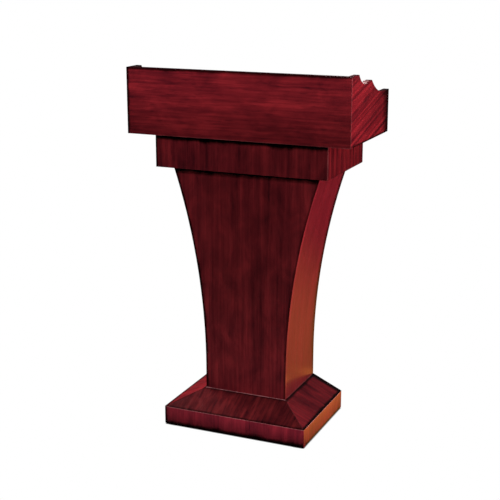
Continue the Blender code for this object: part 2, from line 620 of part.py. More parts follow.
def build_skirt():
    """The hipped skirt, from the plinth's outer edges up to the column's foot, with a flush back."""
    half = PLINTH_WIDTH / 2
    foot = COLUMN_FOOT_WIDTH / 2 + GAP
    foot_y = COLUMN_FRONT_Y - GAP
    hip_slope = (foot_y - PLINTH_FRONT_Y) / (half - foot)
    outer_x, outer_y = half + MITRE_OVERRUN, PLINTH_FRONT_Y - MITRE_OVERRUN * hip_slope
    inner_x, inner_y = foot - MITRE_OVERRUN, foot_y + MITRE_OVERRUN * hip_slope
    front_plan = [(GAP - outer_x, outer_y), (outer_x - GAP, outer_y),
                  (inner_x - GAP, inner_y), (GAP - inner_x, inner_y)]
    front_section = [(PLINTH_FRONT_Y, COLUMN_LOW_Z), (foot_y, COLUMN_LOW_Z), (foot_y, SKIRT_TOP_Z)]
    skirt("skirt_front", front_section, PLINTH_WIDTH, facing_x(0), front_plan)

    past_back_y = COLUMN_BACK_Y + MITRE_OVERRUN
    side_plan = [(outer_x, outer_y), (outer_x, past_back_y), (inner_x, past_back_y), (inner_x, inner_y)]
    side_section = [(foot, COLUMN_LOW_Z), (half, COLUMN_LOW_Z), (foot, SKIRT_TOP_Z)]
    place = facing_y((PLINTH_FRONT_Y + COLUMN_BACK_Y) / 2)
    for word, side in SIDES.items():
        section = [(side * x, z) for x, z in side_section]
        plan = [(side * x, y) for x, y in side_plan]
        skirt(f"skirt_{word}", section, PLINTH_DEPTH, place, plan)


clear_scene()
parts = new_collection("wooden_pulpit")
cutters = new_collection("cutters")
build_desk()
build_neck()
build_drawer()
build_column()
build_door()
build_plinth()
build_skirt()
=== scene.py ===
"""Looks of the wooden pulpit: lacquered mahogany veneer, its small fittings, the studio and the camera.

Metres, +Z up. The audience is on the -Y side and the speaker, with the drawer and the door, on the +Y side.
The places of the glaze lines, of the painted shadows and highlights along edges, and of the fittings are
worked out from the frame's boxes.
"""

import math
from dataclasses import dataclass

import bmesh
import bpy
from mathutils import Matrix, Vector


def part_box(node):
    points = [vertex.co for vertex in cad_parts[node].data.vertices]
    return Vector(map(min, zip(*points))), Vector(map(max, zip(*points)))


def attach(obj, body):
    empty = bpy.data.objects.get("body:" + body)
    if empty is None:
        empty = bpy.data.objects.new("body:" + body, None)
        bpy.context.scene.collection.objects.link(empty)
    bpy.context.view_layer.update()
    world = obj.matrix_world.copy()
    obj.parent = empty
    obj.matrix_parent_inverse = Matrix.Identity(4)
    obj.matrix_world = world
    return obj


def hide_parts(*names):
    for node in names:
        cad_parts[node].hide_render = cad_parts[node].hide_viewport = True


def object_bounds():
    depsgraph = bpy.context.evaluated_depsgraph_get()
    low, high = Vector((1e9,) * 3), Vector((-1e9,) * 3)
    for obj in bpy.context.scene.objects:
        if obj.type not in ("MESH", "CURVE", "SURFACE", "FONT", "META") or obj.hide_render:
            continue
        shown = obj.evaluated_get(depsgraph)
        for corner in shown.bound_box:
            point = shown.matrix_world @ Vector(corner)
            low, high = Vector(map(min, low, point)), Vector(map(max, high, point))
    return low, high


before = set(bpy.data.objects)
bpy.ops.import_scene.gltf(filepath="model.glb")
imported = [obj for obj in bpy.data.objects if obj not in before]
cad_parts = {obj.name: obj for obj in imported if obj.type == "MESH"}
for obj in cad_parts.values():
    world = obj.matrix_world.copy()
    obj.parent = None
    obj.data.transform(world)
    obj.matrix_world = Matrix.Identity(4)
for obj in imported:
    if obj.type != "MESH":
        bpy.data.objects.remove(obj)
cad_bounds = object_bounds()

# The column's flare: the sides stand upright below ARC_START_Z and follow one arc above it
ARC_START_Z = 0.176
ARC_RADIUS = 1.958

# Camera
CAMERA_AZIMUTH = math.radians(23.55)
CAMERA_ELEVATION = math.radians(14.95)
CAMERA_DISTANCE = 3.433
CAMERA_TARGET = Vector((-0.0162, -0.0260, 0.5431))
CAMERA_LENS_MM = 80.71
SENSOR_MM = 36.0

# Studio
WHITE = (1.0, 1.0, 1.0)
SKY_AMBIENT = (0.050, 0.050, 0.053)
SKY_REFLECTED = (0.020, 0.019, 0.021)
GLINT_COLOUR = (1.0, 0.70, 0.68)
FLOOR_RADIUS = 60.0
FLOOR_BOUNCE = (0.34, 0.32, 0.30)
# Painted contact shadow on the floor: how far it reaches, and the openness over which it fades to white
CONTACT_SHADOW_REACH = 0.007
CONTACT_SHADOW_OPENNESS = (0.35, 0.85)

# Painted reflection: what the lacquer and metal mirror from the floor, which glows to glossy rays only. Each
# span is (from, to): a glow rises or falls across it.
POOL_CENTRE = (0.23, 0.40, 0.0)
POOL_COLOUR = (1.0, 0.31, 0.055)
POOL_SPAN = (0.30, 1.28)
POOL_GLOW = 0.43
HEART_SPAN = (0.0, 0.07)
HEART_GLOW = 0.75
STRIP_RISE_X = (0.238, 0.262)
STRIP_RISE_GLOW = 0.25
STRIP_PEAK_X = (0.268, 0.292)
STRIP_FALL_X = (0.30, 0.50)
STRIP_FALL_Y = (0.26, 0.36)
WARM_FLOOR_X = (0.12, 0.20)
WARM_FLOOR_Y = (-0.20, -0.12)
REAR_FLOOR_GLOW = (0.26, 0.24, 0.22)
REAR_FLOOR_RISE_X = (-0.55, -0.30)
REAR_FLOOR_FALL_X = (-0.10, 0.14)
REAR_FLOOR_RISE_Y = (0.15, 0.60)

# Mahogany stain, as linear colours
DESK_FRONT = (0.175, 0.0100, 0.0155)
DESK_SIDE = (0.148, 0.0064, 0.0108)
NECK_SIDE = (0.096, 0.0044, 0.0068)
DARK_FRONT = (0.092, 0.0058, 0.0088)
COLUMN_SIDE = (0.165, 0.0082, 0.0140)
COLUMN_END = tuple(1.25 * channel for channel in COLUMN_SIDE)
# The three skirt slopes share one veneer: their tones differ by painted light and shade, the front slope
# darkest and the left one lightest
SKIRT_FRONT_PAINTED_SHADE = (0.056, 0.0052, 0.0066)
SKIRT_RIGHT_PAINTED_LIGHT = (0.098, 0.0064, 0.0096)
SKIRT_LEFT_PAINTED_LIGHT = (0.270, 0.0105, 0.0165)
PLINTH_FRONT = (0.165, 0.0088, 0.0190)
PLINTH_SIDE = (0.160, 0.0100, 0.0120)
INNER = (0.118, 0.0068, 0.0098)
STAIN_STOPS = (
    (0.16, (0.34, 0.40, 0.52)),
    (0.38, (0.74, 0.74, 0.80)),
    (0.52, (1.00, 1.00, 1.00)),
    (0.80, (1.72, 1.72, 1.55)),
)

# Lacquer over the stain
LACQUER_SPECULAR = 0.10
LACQUER_ROUGHNESS = 0.18
LACQUER_IOR = 1.5

# Painted light and shade: how much lighter or darker the stain is made across a board, as light and shade
# fell on it: (axis, low, high, factor below low, factor above high)
DESK_FRONT_PAINTED_LIGHT = (("z", 0.91, 1.08, 0.54, 1.20), ("x", -0.30, 0.10, 1.22, 0.95))
NECK_FRONT_PAINTED_LIGHT = (("x", -0.27, 0.15, 1.15, 0.85),)
COLUMN_FRONT_PAINTED_LIGHT = (
    ("z", 0.10, 0.50, 1.40, 0.82),
    ("x", -0.17, -0.09, 1.30, 1.00),
    ("x", 0.06, 0.15, 1.00, 1.15),
)
COLUMN_SIDE_PAINTED_LIGHT = (("z", 0.10, 0.30, 0.70, 0.95), ("z", 0.30, 0.45, 1.00, 1.12))
PLINTH_FRONT_PAINTED_LIGHT = (("z", 0.00, 0.06, 0.55, 1.55), ("x", -0.23, 0.00, 0.78, 1.00))

# Dark glaze along an edge, and in the same way the painted shadows below: (fully dark as far as, ends at, how
# much of the colour is left in the dark)
LINE = (0.0045, 0.0110, 0.12)
THIN_LINE = (0.0010, 0.0050, 0.35)
FAINT_LINE = (0.0010, 0.0040, 0.70)
RIM_LINE = (0.0020, 0.0060, 0.35)
FLARE_LINE = (0.0020, 0.0100, 0.40)
DESK_TOP_LINE = (0.0030, 0.0100, 0.12)
DESK_FOOT_LINE = (0.0030, 0.0080, 0.15)
DESK_REAR_LINE = (0.0120, 0.0750, 0.08)
COLUMN_REAR_LINE = (0.0100, 0.0350, 0.25)
SKIRT_REAR_LINE = (0.0120, 0.0300, 0.05)
SKIRT_FOOT_LINE = (0.0020, 0.0055, 0.05)
# Painted shadow along the foot of the plinth's front, next to the floor
PLINTH_FOOT_PAINTED_SHADOW = (0.0040, 0.0170, 0.05)
# Painted shadow that the desk casts on the neck's front, and the neck on the column's front
OVERHANG_PAINTED_SHADOW = (0.0095, 0.0235, 0.02)

# Glaze along the desk's shaped upper edge: the radius that it reaches, how alike the rounded and the flat
# normals are from dark to plain, how much of the colour is left, and the heights between which it sets in
SCALLOP_RADIUS = 0.0035
SCALLOP_LIKENESS = (0.78, 0.97)
SCALLOP_LEFT_OVER = 0.25
SCALLOP_FROM_Z = (1.020, 1.026)

# Arrises made lighter, partly rubbed by wear and partly a painted highlight where light catches them: their
# colour and width, and how strongly each part's are rubbed and lit
WEAR_AND_HIGHLIGHT = (0.480, 0.1900, 0.2000)
WEAR_AND_HIGHLIGHT_WIDTH = 0.0022
DESK_WEAR_AND_HIGHLIGHT = 0.15
NECK_WEAR_AND_HIGHLIGHT = 0.18
COLUMN_WEAR_AND_HIGHLIGHT = 0.25
SKIRT_TOP_WEAR_AND_HIGHLIGHT = 1.0
HIP_WEAR_AND_HIGHLIGHT = 0.08
PLINTH_FRONT_WEAR_AND_HIGHLIGHT = 0.8
PLINTH_SIDE_WEAR_AND_HIGHLIGHT = 0.9

# Where most of a noise's values lie
NOISE_SPAN = (0.3, 0.7)

# The other materials' colours, as (place on the ramp, linear colour)
PINE_STOPS = ((0.15, (0.66, 0.44, 0.22)), (0.55, (0.52, 0.32, 0.14)), (0.90, (0.36, 0.19, 0.07)))
BIRCH_STOPS = ((0.30, (0.50, 0.33, 0.17)), (0.50, (0.63, 0.45, 0.26)), (0.72, (0.72, 0.55, 0.34)))
BRASS_STOPS = ((0.28, (0.58, 0.36, 0.12)), (0.45, (0.78, 0.53, 0.20)), (0.75, (0.88, 0.65, 0.30)))
BRUSHED_BRASS = (0.93, 0.75, 0.42)
ZINC_STOPS = ((0.30, (0.45, 0.46, 0.49)), (0.52, (0.60, 0.61, 0.62)), (0.75, (0.72, 0.70, 0.62)))
BLACK_PLASTIC = (0.012, 0.012, 0.013)
SCUFFED_PLASTIC = (0.045, 0.044, 0.043)

# Brushing of the brass, in strokes a metre along each axis: the hinges up and down, the knobs round and round
HINGE_BRUSHING = (900.0, 900.0, 40.0)
KNOB_BRUSHING = (260.0, 260.0, 2600.0)

# Plies of a board that is thicker than so much
PLY_COUNTS = ((0.013, 9), (0.008, 7), (0.0, 5))

# How far the grain of the desk's sides leans, and the turn from each grain direction to Z
SIDE_GRAIN_TILT = math.radians(-13.5)
GRAIN_TURNS = {"x": (0.0, math.pi / 2, 0.0), "y": (-math.pi / 2, 0.0, 0.0), "z": (0.0, 0.0, 0.0)}

# Smooth shading
SMOOTH_ANGLE = math.radians(50.0)
TURNED_SMOOTH_ANGLE = math.radians(35.0)
WELD_DISTANCE = 0.00001

# Screw heads: (radius, height, width of the cross recess)
HINGE_SCREW = (0.0027, 0.0009, 0.0030)
PAN_SCREW = (0.0030, 0.0014, 0.0032)
KNOB_SCREW = (0.0038, 0.0019, 0.0042)
STRIKE_SCREW = (0.0026, 0.0004, 0.0028)

# How far a head is let into its surface, and the shares of it that are its rim, its seat and its slots' width
LET_IN = 0.0001
RIM_SHARE = 0.22
SEAT_SHARE = 0.96
SLOT_SHARE = 0.24

# Where the screws sit
HINGE_SHEET = 0.0014
HINGE_SCREW_SPREAD = 0.020
HINGE_SCREW_STAGGER = 0.0035
KNUCKLE_REACH = 0.0037
RAIL_SHEET = 0.0012
RAIL_SCREW_PLACES = (0.12, 0.5, 0.88)
CATCH_SCREW_OFFSET = 0.014

# The knobs' washers, as (radius, z) from the seat to the face
WASHER_FACE_Z = 0.0009
WASHER_PROFILE = (
    (0, 0),
    (0.0058, 0),
    (0.0060, 0.0002),
    (0.0060, 0.0007),
    (0.0057, WASHER_FACE_Z),
    (0, WASHER_FACE_Z),
)

# The knobs: the dome, the foot and the waist as shares of the radius, and the foot's rim as (radius past the
# foot's, z). Then the cove's height, how far the dome overhangs the waist, and the ring groove round the dome
KNOB_DOME_SHARE = 0.72
KNOB_FOOT_SHARE = 0.62
KNOB_WAIST_SHARE = 0.40
KNOB_FOOT_RIM = ((-0.0002, 0.0), (0.0, 0.0003), (0.0, 0.0013), (-0.0006, 0.0019))
KNOB_COVE_HEIGHT = 0.0040
KNOB_OVERHANG = 0.0008
GROOVE_ANGLE = math.radians(38.0)
GROOVE_WIDTH = 0.045
GROOVE_DEPTH = 0.0004

# The magnetic catch's two pole plates
POLE_PLATE_SIZE = (0.026, 0.0022, 0.0014)
POLE_PLATE_OFFSET = 0.0022
POLE_PLATE_INSET = 0.0009
POLE_PLATE_ARRIS = 0.0003


# ---------------------------------------------------------------- shader building

class Shader:
    """One material's node tree. Its methods add nodes and, unless they say otherwise, return a socket."""

    def __init__(self, name):
        self.material = bpy.data.materials.new(name)
        self.material.use_nodes = True
        self.nodes = self.material.node_tree.nodes
        self.links = self.material.node_tree.links
        self.nodes.clear()

    def node(self, kind, inputs=None, **settings):
        """A new node with its settings, and its inputs filled with numbers or with other nodes' outputs."""
        made = self.nodes.new(f"ShaderNode{kind}")
        for key, value in settings.items():
            setattr(made, key, value)
        for key, value in (inputs or {}).items():
            if isinstance(value, bpy.types.NodeSocket):
                self.links.new(value, made.inputs[key])
            else:
                made.inputs[key].default_value = value
        return made

    def math(self, operation, first, second=0.0):
        """A number from one or two numbers."""
        return self.node("Math", {0: first, 1: second}, operation=operation).outputs[0]

    def plus(self, first, second):
        return self.math("ADD", first, second)

    def minus(self, first, second):
        return self.math("SUBTRACT", first, second)

    def times(self, first, second):
        return self.math("MULTIPLY", first, second)

    def vector_math(self, operation, first, second):
        """A vector node. Its result is in its first output or, where it is a number, in "Value"."""
        return self.node("VectorMath", {0: first, 1: second}, operation=operation)

    def dot(self, first, second):
        """The scalar product of two vectors."""
        return self.vector_math("DOT_PRODUCT", first, second).outputs["Value"]

    def position(self):
        """The point in the object's own frame, which is the model's frame for a CAD node."""
        return self.node("TexCoord").outputs["Object"]

    def coordinates(self, point):
        """A point's x, y and z."""
        return self.node("SeparateXYZ", {0: point}).outputs

    def noise(self, vector, stretch, detail=2.0, roughness=0.5, distortion=0.0):
        """Noise with its own number of cells a metre along each axis."""
        cells = self.vector_math("MULTIPLY", vector, stretch).outputs[0]
        return self.node("TexNoise", {
            "Vector": cells,
            "Scale": 1.0,
            "Detail": detail,
            "Roughness": roughness,
            "Distortion": distortion,
        }).outputs[0]

    def remap(self, value, low, high, to_low=0.0, to_high=1.0):
        """to_low where the value is below low, to_high where it is above high, and a smooth step between."""
        return self.node("MapRange", {
            "Value": value,
            "From Min": low,
            "From Max": high,
            "To Min": to_low,
            "To Max": to_high,
        }, interpolation_type="SMOOTHSTEP").outputs[0]

    def ramp(self, value, stops):
        """A colour ramp through (place, colour) stops."""
        made = self.node("ValToRGB", {0: value})
        elements = made.color_ramp.elements
        while len(elements) < len(stops):
            elements.new(0.5)
        for element, (place, colour) in zip(elements, stops):
            element.position = place
            element.color = (*colour, 1.0)
        return made.outputs[0]

    def mix(self, share, first, second):
        """Mixes two colours, each a socket or a plain linear colour."""
        first, second = (c if isinstance(c, bpy.types.NodeSocket) else (*c, 1.0) for c in (first, second))
        return self.node("Mix", {0: share, 6: first, 7: second}, data_type="RGBA").outputs[2]

    def scaled(self, colour, factor):
        """A colour times a number."""
        return self.node("VectorMath", {0: colour, "Scale": factor}, operation="SCALE").outputs[0]

    def distance(self, point, plane):
        """How far the point is from a plane, given as (unit normal, offset)."""
        normal, offset = plane
        return self.math("ABSOLUTE", self.minus(self.dot(point, normal), offset))

    def bump(self, height, distance, strength):
        """A normal that follows a height from 0 to 1, which stands for so many metres."""
        return self.node("Bump", {"Strength": strength, "Distance": distance, "Height": height}).outputs[0]

    def finish(self, colour, roughness, normal, **constants):
        """The finished material. Colour, roughness and normal come from nodes, and the rest is constant."""
        surface = self.node("BsdfPrincipled", {
            "Base Color": colour,
            "Roughness": roughness,
            "Normal": normal,
            **{key.replace("_", " "): value for key, value in constants.items()},
        })
        output = self.node("OutputMaterial")
        self.links.new(surface.outputs[0], output.inputs["Surface"])
        return self.material


def wear(node, material):
    """Puts the material on a CAD node."""
    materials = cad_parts[node].data.materials
    materials.clear()
    materials.append(material)


# ---------------------------------------------------------------- planes of a board

AXES = {"x": Vector((1, 0, 0)), "y": Vector((0, 1, 0)), "z": Vector((0, 0, 1))}
SIDES = {
    "left": ("x", 0),
    "right": ("x", 1),
    "front": ("y", 0),
    "back": ("y", 1),
    "bottom": ("z", 0),
    "top": ("z", 1),
}


def side_plane(node, side):
    """The plane of one side of a node's box."""
    axis, end = SIDES[side]
    return AXES[axis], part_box(node)[end]["xyz".index(axis)]


def upright_plane(first, second):
    """The upright plane through two (x, y) points."""
    run = Vector(second) - Vector(first)
    normal = Vector((run.y, -run.x, 0.0)).normalized()
    return normal, normal.x * first[0] + normal.y * first[1]


def flare_distance(shader, point, sign):
    """How far a point of the column is from its flared side, across the column. sign is -1 for the left."""
    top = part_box("column_front_panel")[1]
    sagitta = ARC_RADIUS - math.sqrt(ARC_RADIUS ** 2 - (top.z - ARC_START_Z) ** 2)
    x, _, z = shader.coordinates(point)
    rise = shader.math("MAXIMUM", shader.minus(z, ARC_START_Z), 0.0)
    inner = shader.minus(ARC_RADIUS ** 2, shader.times(rise, rise))
    curve = shader.minus(ARC_RADIUS, shader.math("SQRT", inner))
    half_width = shader.plus(curve, top.x - sagitta)
    return shader.math("ABSOLUTE", shader.minus(half_width, shader.times(x, sign)))


# ---------------------------------------------------------------- materials

@dataclass
class Look:
    """How one veneer leaf looks: its stain, and the wood's figure.

    grain is the axis that it runs along, tilt turns it about X and Y, and seed picks the place in the wood.
    ribbon is the number of grain bands a metre across the grain, run the number along it, and split how
    finely each band is divided. contrast, streaks and mottle weigh the bands, the fine lines and the patches.
    The last field holds painted light and shade: factors that make the stain lighter or darker across the
    leaf.
    """

    tone: tuple
    grain: str
    seed: float
    tilt: tuple = (0.0, 0.0)
    ribbon: float = 36.0
    run: float = 1.3
    split: float = 2.5
    contrast: float = 1.0
    streaks: float = 1.0
    mottle: float = 1.0
    painted_light: tuple = ()


def along_grain(shader, point, look):
    """The point turned so that Z runs along the leaf's grain, and moved to a place of its own in the wood."""
    level = shader.node("VectorRotate", {"Vector": point, "Rotation": (*look.tilt, 0.0)},
                        rotation_type="EULER_XYZ").outputs[0]
    turned = shader.node("VectorRotate", {"Vector": level, "Rotation": GRAIN_TURNS[look.grain]},
                         rotation_type="EULER_XYZ").outputs[0]
    shift = (1.37 * look.seed, 2.11 * look.seed, 0.73 * look.seed)
    return shader.vector_math("ADD", turned, shift).outputs[0]


def stained(shader, figure, tone):
    """The stain's dark, middle and light tones along the wood's figure."""
    stops = [(at, tuple(t * f for t, f in zip(tone, factor))) for at, factor in STAIN_STOPS]
    return shader.ramp(figure, stops)


def figured(shader, point, look):
    """(colour, fine lines, patches, flecks) of one leaf."""
    wood = along_grain(shader, point, look)
    sway = shader.noise(wood, (7.0, 7.0, 3.0), detail=1.0)
    bands = shader.noise(wood, (look.ribbon, look.ribbon, look.run), detail=look.split, roughness=0.62,
                         distortion=0.25)
    lines = shader.noise(wood, (170.0, 170.0, 4.0 * look.run), detail=3.0, roughness=0.6)
    patches = shader.noise(wood, (21.0, 21.0, 11.0), detail=3.0, roughness=0.6, distortion=0.6)
    dashes = shader.noise(wood, (240.0, 240.0, 30.0), detail=1.0)

    figure = 0.5
    layers = (
        (bands, 1.15 * look.contrast),
        (lines, 0.60 * look.streaks),
        (patches, 0.75 * look.mottle),
        (sway, 0.35 * look.mottle),
    )
    for layer, weight in layers:
        figure = shader.plus(figure, shader.times(shader.minus(layer, 0.5), weight))
    flecks = shader.remap(dashes, 0.60, 0.72)
    figure = shader.minus(figure, shader.times(flecks, 0.12 * look.streaks))

    colour = stained(shader, figure, look.tone)
    places = shader.coordinates(point)
    # Painted light and shade: the colour made lighter or darker across the board
    for axis, low, high, below, above in look.painted_light:
        colour = shader.scaled(colour, shader.remap(places["xyz".index(axis)], low, high, below, above))
    return colour, lines, patches, flecks


def veneer(node, look, ends=None, dark=None, wear_and_highlights=(), scalloped=False):
    """Lacquered mahogany veneer on one board.

    ends is the look of the faces that look along X, where they differ. With the right side's seed, its figure
    runs on across them. dark gives the darkening at each named side: glaze, and painted shadow under the
    overhangs and along the plinth's foot. scalloped adds glaze along a board's shaped upper edge. The arrises
    in the last argument, each as (plane, plane, strength), are made lighter: partly wear, partly a painted
    highlight.
    """
    shader = Shader(f"veneer_{node}")
    point = shader.position()
    facing = shader.node("NewGeometry").outputs["True Normal"]
    colour, lines, patches, flecks = figured(shader, point, look)
    for side, glaze in (dark or {}).items():
        colour = glaze_and_painted_shadow(shader, colour, point, facing, node, side, glaze, patches)
    if scalloped:
        colour = shader.scaled(colour, arris_shade(shader, facing, point))
    if ends:
        sideways = shader.math("ABSOLUTE", shader.dot(facing, AXES["x"]))
        share = shader.remap(sideways, 0.60, 0.75)
        colour = shader.mix(share, colour, figured(shader, point, ends)[0])
    colour = rub_and_highlight(shader, colour, point, wear_and_highlights, lines, patches)

    pores = shader.noise(along_grain(shader, point, look), (1300.0, 1300.0, 45.0), detail=1.0)
    open_pores = shader.remap(pores, 0.56, 0.68)
    roughness = shader.plus(shader.remap(lines, *NOISE_SPAN, 0.30, 0.42), shader.times(flecks, 0.1))
    relief = shader.minus(shader.times(lines, 0.4), shader.times(open_pores, 0.6))
    normal = shader.bump(relief, 0.00012, 0.35)
    wear(node, shader.finish(colour, roughness, normal, Specular_IOR_Level=LACQUER_SPECULAR, Coat_Weight=1.0,
                             Coat_Roughness=LACQUER_ROUGHNESS, Coat_IOR=LACQUER_IOR))


def glaze_and_painted_shadow(shader, colour, point, facing, node, side, glaze, patches):
    """Dark glaze along one side's edge, uneven as if wiped by hand, and not on the end face itself. It also
    paints the shadows under the overhangs and along the plinth's foot.
    """
    if side.startswith("flare"):
        away = flare_distance(shader, point, -1 if side == "flare_left" else 1)
        axis = AXES["x"]
    else:
        away = shader.distance(point, side_plane(node, side))
        axis = AXES[SIDES[side][0]]
    solid, reach, left_over = glaze
    uneven = shader.remap(patches, *NOISE_SPAN, 0.8, 1.25)
    shade = shader.remap(shader.times(away, uneven), solid, reach, left_over, 1.0)
    if side not in ("top", "bottom"):
        squarely = shader.math("ABSOLUTE", shader.dot(facing, axis))
        shade = shader.math("MAXIMUM", shade, shader.remap(squarely, 0.75, 0.92))
    return shader.scaled(colour, shade)


def arris_shade(shader, facing, point):
    """Dark glaze along the shaped upper edge of a side board, and none on the edges below it."""
    rounded = shader.node("Bevel", {"Radius": SCALLOP_RADIUS}, samples=8).outputs[0]
    shade = shader.remap(shader.dot(rounded, facing), *SCALLOP_LIKENESS, SCALLOP_LEFT_OVER, 1.0)
    height = shader.coordinates(point)[2]
    return shader.math("MAXIMUM", shade, shader.remap(height, *SCALLOP_FROM_Z, 1.0, 0.0))


def rub_and_highlight(shader, colour, point, wear_and_highlights, lines, patches):
    """The arrises made lighter: partly where handling has thinned the stain, and partly a painted highlight
    where light catches the rounded edge.
    """
    for first, second, strength in wear_and_highlights:
        reach = shader.math("MAXIMUM", shader.distance(point, first), shader.distance(point, second))
        share = shader.remap(reach, WEAR_AND_HIGHLIGHT_WIDTH * 0.5, WEAR_AND_HIGHLIGHT_WIDTH, 1.0, 0.0)
        uneven = shader.times(shader.remap(lines, 0.35, 0.65, 0.5, 1.0),
                              shader.remap(patches, 0.35, 0.6, 0.6, 1.0))
        colour = shader.mix(shader.times(share, shader.times(uneven, strength)), colour, WEAR_AND_HIGHLIGHT)
    return colour


def softwood():
    """Sawn pine for the hidden cleats and battens: growth rings, saw marks and a few darker streaks."""
    shader = Shader("pine")
    point = shader.position()
    sway = shader.noise(point, (9.0, 9.0, 9.0), detail=2.0)
    rings = shader.node("TexWave", {
        "Vector": shader.vector_math("MULTIPLY", point, (95.0, 9.0, 95.0)).outputs[0],
        "Scale": 1.0,
        "Distortion": 5.0,
        "Detail": 2.0,
        "Detail Scale": 0.6,
    }, bands_direction="DIAGONAL").outputs[1]
    fibres = shader.noise(point, (700.0, 60.0, 700.0), detail=2.0)
    figure = shader.plus(shader.times(rings, 0.55), shader.times(fibres, 0.45))
    colour = shader.ramp(figure, PINE_STOPS)
    colour = shader.mix(shader.remap(sway, 0.35, 0.7), colour, shader.scaled(colour, 0.8))
    saw = shader.noise(point, (40.0, 420.0, 40.0), detail=1.0)
    relief = shader.plus(shader.times(saw, 0.6), shader.times(fibres, 0.4))
    roughness = shader.remap(fibres, *NOISE_SPAN, 0.62, 0.80)
    return shader.finish(colour, roughness, shader.bump(relief, 0.0003, 0.5), Specular_IOR_Level=0.3)


def plywood(node):
    """Birch plywood: a pale rotary-cut face, and its plies alternating across the board's thickness."""
    low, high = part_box(node)
    size = high - low
    thin = min(range(3), key=lambda axis: size[axis])
    long = max(range(3), key=lambda axis: size[axis])
    plies = next(count for thickness, count in PLY_COUNTS if size[thin] > thickness)
    stretch = [26.0, 26.0, 26.0]
    stretch[long] = 3.5
    shader = Shader(f"plywood_{node}")
    point = shader.position()
    swirl = shader.noise(point, stretch, detail=3.0, roughness=0.6, distortion=1.2)
    fibre_stretch = [620.0, 620.0, 620.0]
    fibre_stretch[long] = 40.0
    fibres = shader.noise(point, fibre_stretch, detail=2.0)
    figure = shader.plus(shader.times(swirl, 0.7), shader.times(fibres, 0.3))
    face = shader.ramp(figure, BIRCH_STOPS)
    depth = shader.minus(shader.coordinates(point)[thin], low[thin])
    layer = shader.times(depth, plies / size[thin])
    across = shader.math("PINGPONG", layer, 1.0)
    end_grain = shader.remap(across, 0.42, 0.58)
    middle, reach = plies / 2, plies / 2 - 0.25
    inside = shader.node("Math", {0: layer, 1: middle, 2: reach}, operation="COMPARE").outputs[0]
    share = shader.times(shader.times(end_grain, inside), 0.75)
    colour = shader.mix(share, face, shader.scaled(face, 0.45))
    relief = shader.plus(shader.times(fibres, 0.5), shader.times(end_grain, -0.3))
    roughness = shader.remap(fibres, *NOISE_SPAN, 0.42, 0.58)
    wear(node, shader.finish(colour, roughness, shader.bump(relief, 0.0002, 0.4), Specular_IOR_Level=0.35))


def brass(name, brushed):
    """Brass: fine brushing, with fingerprints and a little tarnish."""
    shader = Shader(name)
    point = shader.position()
    brushing = shader.noise(point, brushed, detail=2.0)
    tarnish = shader.noise(point, (130.0, 130.0, 130.0), detail=4.0, roughness=0.65)
    colour = shader.ramp(tarnish, BRASS_STOPS)
    colour = shader.mix(shader.remap(brushing, *NOISE_SPAN, 0.0, 0.10), colour, BRUSHED_BRASS)
    smear = shader.remap(tarnish, 0.35, 0.65, 0.06, 0.0)
    roughness = shader.plus(shader.remap(brushing, *NOISE_SPAN, 0.22, 0.30), smear)
    return shader.finish(colour, roughness, shader.bump(brushing, 0.00002, 0.3), Metallic=0.9)


def steel():
    """Zinc-plated steel: rolled streaks, a cloudy spangle and a faint yellow passivation."""
    shader = Shader("zinc_steel")
    point = shader.position()
    rolled = shader.noise(point, (500.0, 18.0, 500.0), detail=3.0)
    cloud = shader.noise(point, (90.0, 90.0, 90.0), detail=3.0, roughness=0.6)
    colour = shader.ramp(cloud, ZINC_STOPS)
    roughness = shader.remap(rolled, *NOISE_SPAN, 0.26, 0.44)
    return shader.finish(colour, roughness, shader.bump(rolled, 0.00008, 0.4), Metallic=0.8)


def plastic():
    """Black moulded plastic: fine spark texture, scuffed a little lighter in patches."""
    shader = Shader("moulded_plastic")
    point = shader.position()
    texture = shader.noise(point, (2200.0, 2200.0, 2200.0), detail=2.0)
    scuffs = shader.noise(point, (160.0, 160.0, 160.0), detail=4.0, roughness=0.7)
    colour = shader.mix(shader.remap(scuffs, 0.5, 0.75, 0.0, 0.6), BLACK_PLASTIC, SCUFFED_PLASTIC)
    roughness = shader.remap(scuffs, *NOISE_SPAN, 0.40, 0.62)
    return shader.finish(colour, roughness, shader.bump(texture, 0.00008, 0.5), Specular_IOR_Level=0.45)


# ---------------------------------------------------------------- boards

def dress_desk():
    """The desk box: its front, sides, bottom, reading board and page stop."""
    front_y, back_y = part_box("desk_front_board")[0].y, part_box("desk_right_side")[1].y
    # The sides are painted lighter at the front and darker towards the rear, as light and shade fell
    side_look = dict(tilt=(SIDE_GRAIN_TILT, 0.0), ribbon=105.0, split=0.5, contrast=1.25, streaks=0.6,
                     mottle=0.9, painted_light=(("y", front_y, back_y, 1.10, 0.80),))
    front = "desk_front_board"
    front_plane = side_plane(front, "front")
    arrises = [(front_plane, side_plane(front, side), DESK_WEAR_AND_HIGHLIGHT) for side in ("left", "right", "bottom")]
    veneer(front, Look(DESK_FRONT, "x", 3, ribbon=55.0, run=2.2, contrast=0.55, streaks=1.1,
                       painted_light=DESK_FRONT_PAINTED_LIGHT),
           ends=Look(DESK_SIDE, "y", 7, **side_look), dark={"left": LINE, "top": DESK_TOP_LINE}, wear_and_highlights=arrises)
    for side, seed in (("left", 5), ("right", 7)):
        dark = {"back": DESK_REAR_LINE, "bottom": DESK_FOOT_LINE}
        if side == "left":
            dark["top"] = LINE
        veneer(f"desk_{side}_side", Look(DESK_SIDE, "y", seed, **side_look), dark=dark, scalloped=True)
    veneer("desk_bottom_board", Look(INNER, "x", 9), dark={"back": LINE})
    veneer("reading_board", Look(INNER, "x", 11, ribbon=24.0, contrast=0.9), dark={"back": LINE})
    veneer("page_stop", Look(INNER, "x", 13, contrast=0.6))


